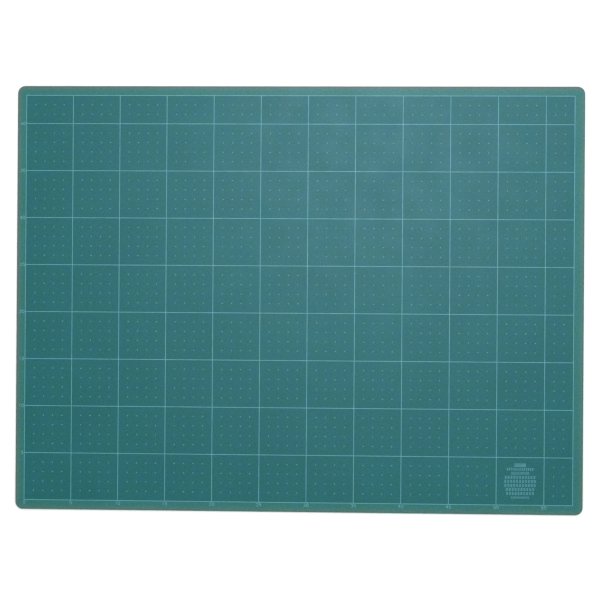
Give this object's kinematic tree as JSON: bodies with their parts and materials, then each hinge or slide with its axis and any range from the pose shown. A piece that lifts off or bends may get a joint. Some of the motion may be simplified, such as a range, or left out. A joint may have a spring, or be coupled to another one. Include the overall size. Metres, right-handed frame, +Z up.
{
  "type": "self healing mat",
  "caption": "Flat rectangular self healing cutting mat with rounded corners: soft vinyl faces bonded to a hard core, with a printed centimetre grid, dots and edge numerals.",
  "frame": {"origin": "middle of the bottom face, which lies on the bench", "axes": "+Z up out of the printed face, +X along the long side towards the higher numerals, +Y towards the top of the print"},
  "size_m": [0.6, 0.45, 0.0021],
  "materials": {
    "green_vinyl": "matte",
    "core_vinyl": "satin",
    "print_ink": "matte"
  },
  "bodies": {
    "root": {"top_sheet": "green_vinyl", "core_sheet": "core_vinyl", "bottom_sheet": "green_vinyl", "grid_line_print": "print_ink", "dot_print": "print_ink", "bottom_scale_numerals": "print_ink", "left_scale_numerals": "print_ink", "notice_block_print": "print_ink"}
  },
  "joints": []
}
